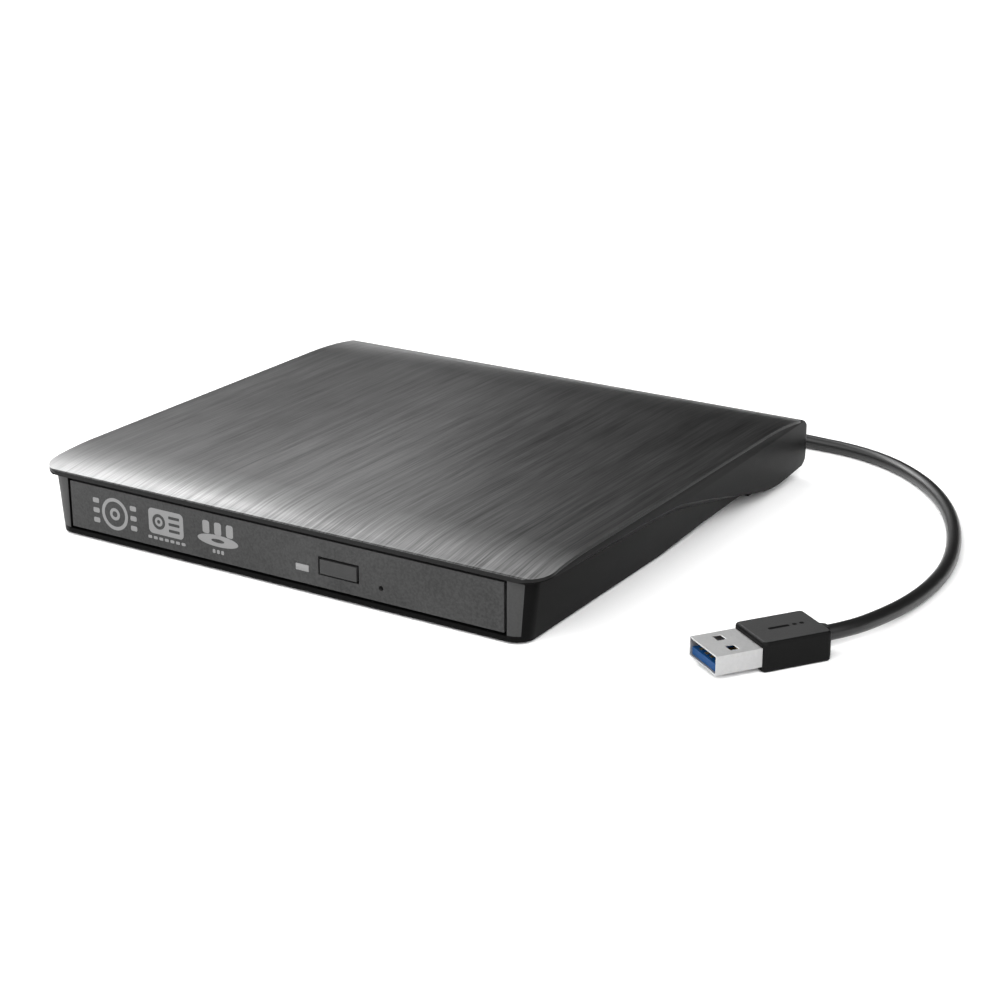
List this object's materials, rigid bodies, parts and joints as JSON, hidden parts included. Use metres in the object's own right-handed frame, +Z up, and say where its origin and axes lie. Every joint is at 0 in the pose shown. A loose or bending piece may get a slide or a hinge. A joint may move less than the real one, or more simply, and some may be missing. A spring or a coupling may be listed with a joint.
{
  "type": "external optical drive",
  "caption": "Slim tray-load external optical drive with a brushed lid, a rounded rear roll and a captive cable ending in a type-A plug.",
  "frame": {"origin": "centre of the case's footprint, on the surface it stands on", "axes": "+Z up, +X to the right seen from the drawer front, +Y towards the rear roll; the drawer opens along -Y"},
  "size_m": [0.2094, 0.1625, 0.0183],
  "materials": {
    "brushed_lid": "brushed dark grey",
    "case_plastic": "satin",
    "bezel_plastic": "fine texture",
    "button_plastic": "satin",
    "tray_plastic": "fine texture",
    "light_plastic": "translucent",
    "steel_sheet": "zinc plated",
    "bright_steel": "ground",
    "screw_steel": "black zinc",
    "circuit_board": "solder mask",
    "chip_plastic": "moulded",
    "connector_plastic": "moulded",
    "rubber": "matte",
    "cable_jacket": "satin",
    "plug_grip": "matte",
    "plug_metal": "nickel plated",
    "plug_blue": "moulded",
    "gold_contact": "gold flash",
    "wire_jacket": "extruded",
    "flex_film": "polyimide",
    "sled_metal": "cast",
    "ferrite": "sintered",
    "amber_plastic": "moulded",
    "lens_glass": "coated",
    "white_plastic": "moulded",
    "copper_coil": "enamelled wire"
  },
  "bodies": {
    "enclosure": {"top_panel": "brushed_lid", "upper_frame": "case_plastic", "cable_channel": "case_plastic", "base_shell": "case_plastic", "rubber_feet": "rubber", "case_screws": "screw_steel", "bridge_board": "circuit_board", "bridge_chips": "chip_plastic", "bridge_plug": "connector_plastic", "sata_socket": "connector_plastic", "inner_wires": "wire_jacket", "cable_gland": "plug_grip", "usb_cable": "cable_jacket", "plug_overmold": "plug_grip", "plug_shell": "plug_metal", "plug_tongue": "plug_blue", "plug_contacts": "gold_contact", "drive_pan": "steel_sheet", "drive_lid": "steel_sheet", "drive_screws": "screw_steel", "rail_guide_right": "white_plastic", "rail_guide_left": "white_plastic", "main_board": "circuit_board", "main_board_chips": "chip_plastic", "flex_connector": "white_plastic", "flex_cable": "flex_film", "latch_post": "bright_steel"},
    "rail_right": {"rail_right": "bright_steel"},
    "rail_left": {"rail_left": "bright_steel"},
    "tray": {"tray": "tray_plastic", "tray_bezel": "bezel_plastic", "tray_under_plate": "steel_sheet", "tray_screws": "screw_steel", "mechanism_deck": "steel_sheet", "isolation_bushes": "rubber", "deck_screws": "screw_steel", "spindle_motor_base": "steel_sheet", "guide_rod_main": "bright_steel", "guide_rod_side": "bright_steel", "sled_motor": "bright_steel", "front_board": "circuit_board", "eject_switch": "connector_plastic", "led_lens": "light_plastic", "button_spring": "bright_steel", "latch_solenoid": "copper_coil", "latch_pin": "bright_steel"},
    "turntable": {"turntable": "bright_steel", "turntable_ring": "rubber", "clamp_claws": "white_plastic"},
    "pickup": {"pickup_sled": "sled_metal", "screw_follower": "white_plastic", "lens_cover": "screw_steel", "focus_magnets": "ferrite"},
    "lens": {"lens_holder": "amber_plastic", "objective_lens": "lens_glass"},
    "lead_screw": {"lead_screw": "bright_steel"},
    "eject_button": {"eject_button": "button_plastic"},
    "latch_lever": {"latch_lever": "white_plastic"}
  },
  "joints": [
    {"name": "tray_slide", "type": "slide", "parent": "enclosure", "child": "tray", "axis": [0, -1, 0], "range_m": [0, 0.12], "deforming": ["flex_cable"]},
    {"name": "rail_right_slide", "type": "slide", "parent": "enclosure", "child": "rail_right", "axis": [0, -1, 0], "range_m": [0, 0.06]},
    {"name": "rail_left_slide", "type": "slide", "parent": "enclosure", "child": "rail_left", "axis": [0, -1, 0], "range_m": [0, 0.06]},
    {"name": "eject_press", "type": "slide", "parent": "tray", "child": "eject_button", "axis": [0, 1, 0], "range_m": [0, 0.0006], "stiffness_N_per_m": 400, "deforming": ["button_spring"]},
    {"name": "spindle_turn", "type": "hinge", "parent": "tray", "child": "turntable", "pos_m": [0, -0.0057, 0.0108], "axis": [0, 0, 1], "continuous": true},
    {"name": "pickup_slide", "type": "slide", "parent": "tray", "child": "pickup", "axis": [-0.7071, -0.7071, 0], "range_m": [0, 0.03]},
    {"name": "lead_screw_turn", "type": "hinge", "parent": "tray", "child": "lead_screw", "pos_m": [-0.00184, -0.03215, 0.0057], "axis": [-0.7071, -0.7071, 0], "range_deg": [0, 3601]},
    {"name": "lens_focus", "type": "slide", "parent": "pickup", "child": "lens", "axis": [0, 0, 1], "range_m": [-0.0004, 0.0004], "stiffness_N_per_m": 40},
    {"name": "latch_swing", "type": "hinge", "parent": "tray", "child": "latch_lever", "pos_m": [0.052, -0.0502, 0.0046], "axis": [0, 0, 1], "range_deg": [0, 4]}
  ],
  "couplings": [
    {"joint": "rail_right_slide", "follows": "tray_slide", "ratio": 0.5},
    {"joint": "rail_left_slide", "follows": "tray_slide", "ratio": 0.5},
    {"joint": "lead_screw_turn", "follows": "pickup_slide", "rad_per_m": 2094.4}
  ]
}
